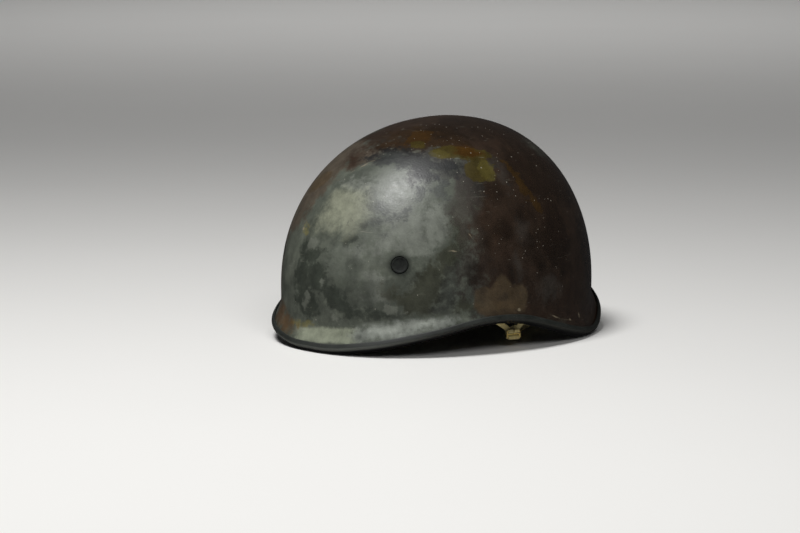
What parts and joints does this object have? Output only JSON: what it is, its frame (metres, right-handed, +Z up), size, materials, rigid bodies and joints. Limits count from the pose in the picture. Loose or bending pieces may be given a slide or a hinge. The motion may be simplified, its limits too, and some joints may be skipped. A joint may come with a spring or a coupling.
{
  "type": "combat helmet",
  "caption": "Round, tall composite combat helmet with a flared rim, rubber edging, an arch over each ear, flush bolts and a khaki chin strap.",
  "frame": {"origin": "middle of the surface that the helmet rests on, under the centre of its outline", "axes": "+Z up, +Y towards the nape, -Y towards the front, -X towards the wearer's right"},
  "size_m": [0.247, 0.2961, 0.1799],
  "materials": {
    "painted_laminate": "worn satin camouflage paint on aramid laminate",
    "black_rubber": "matte",
    "blackened_steel": "dark satin",
    "khaki_webbing": "woven cotton tape",
    "brass": "worn",
    "black_plastic": "matte"
  },
  "bodies": {
    "root": {"shell": "painted_laminate", "rim_edging": "black_rubber", "bolt_rear_right": "blackened_steel", "bolt_rear_left": "blackened_steel", "bolt_front_right": "blackened_steel", "bolt_front_left": "blackened_steel", "slide_right": "brass", "slide_left": "brass", "strap_rear_right": "khaki_webbing", "strap_rear_left": "khaki_webbing", "strap_front_right": "khaki_webbing", "strap_front_left": "khaki_webbing", "chin_strap_right": "khaki_webbing", "chin_strap_left": "khaki_webbing", "chin_buckle": "black_plastic"}
  },
  "joints": []
}
